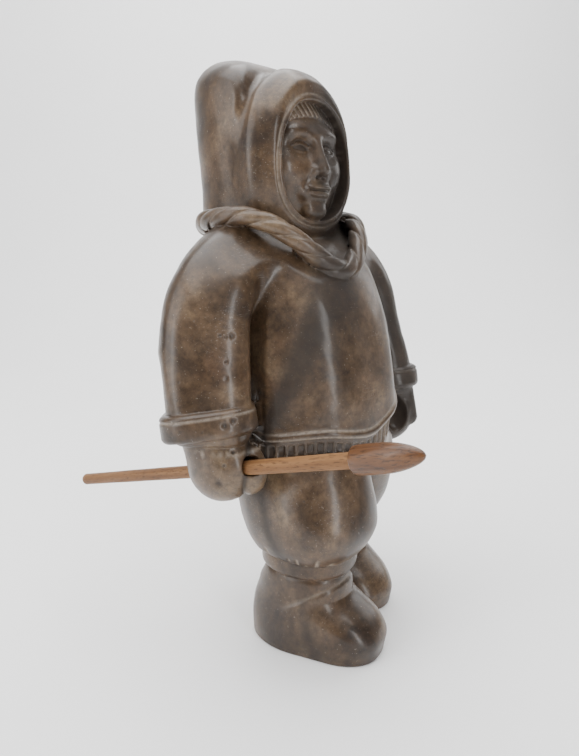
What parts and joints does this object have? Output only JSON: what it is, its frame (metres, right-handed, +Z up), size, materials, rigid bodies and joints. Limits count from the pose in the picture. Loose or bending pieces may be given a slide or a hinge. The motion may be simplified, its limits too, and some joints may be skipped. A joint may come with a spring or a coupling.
{
  "type": "hunter sculpture",
  "caption": "Carved soapstone figure of a standing hunter in a hooded parka, mittens and tall boots, holding a loose wooden spear level in one fist",
  "frame": {"origin": "on the ground, under the middle of the whole figure with its spear", "axes": "+Z up, the figure faces -Y, and its right hand with the spear is at -X; the spear points to -Y"},
  "size_m": [0.1922, 0.2508, 0.3101],
  "materials": {
    "soapstone": "waxed and polished, brown-grey with darker pits",
    "pale_wood": "bare dowel, sanded",
    "dark_wood": "carved and oiled"
  },
  "bodies": {
    "root": {"figure": "soapstone", "spear_shaft": "pale_wood", "spear_head": "dark_wood"}
  },
  "joints": []
}
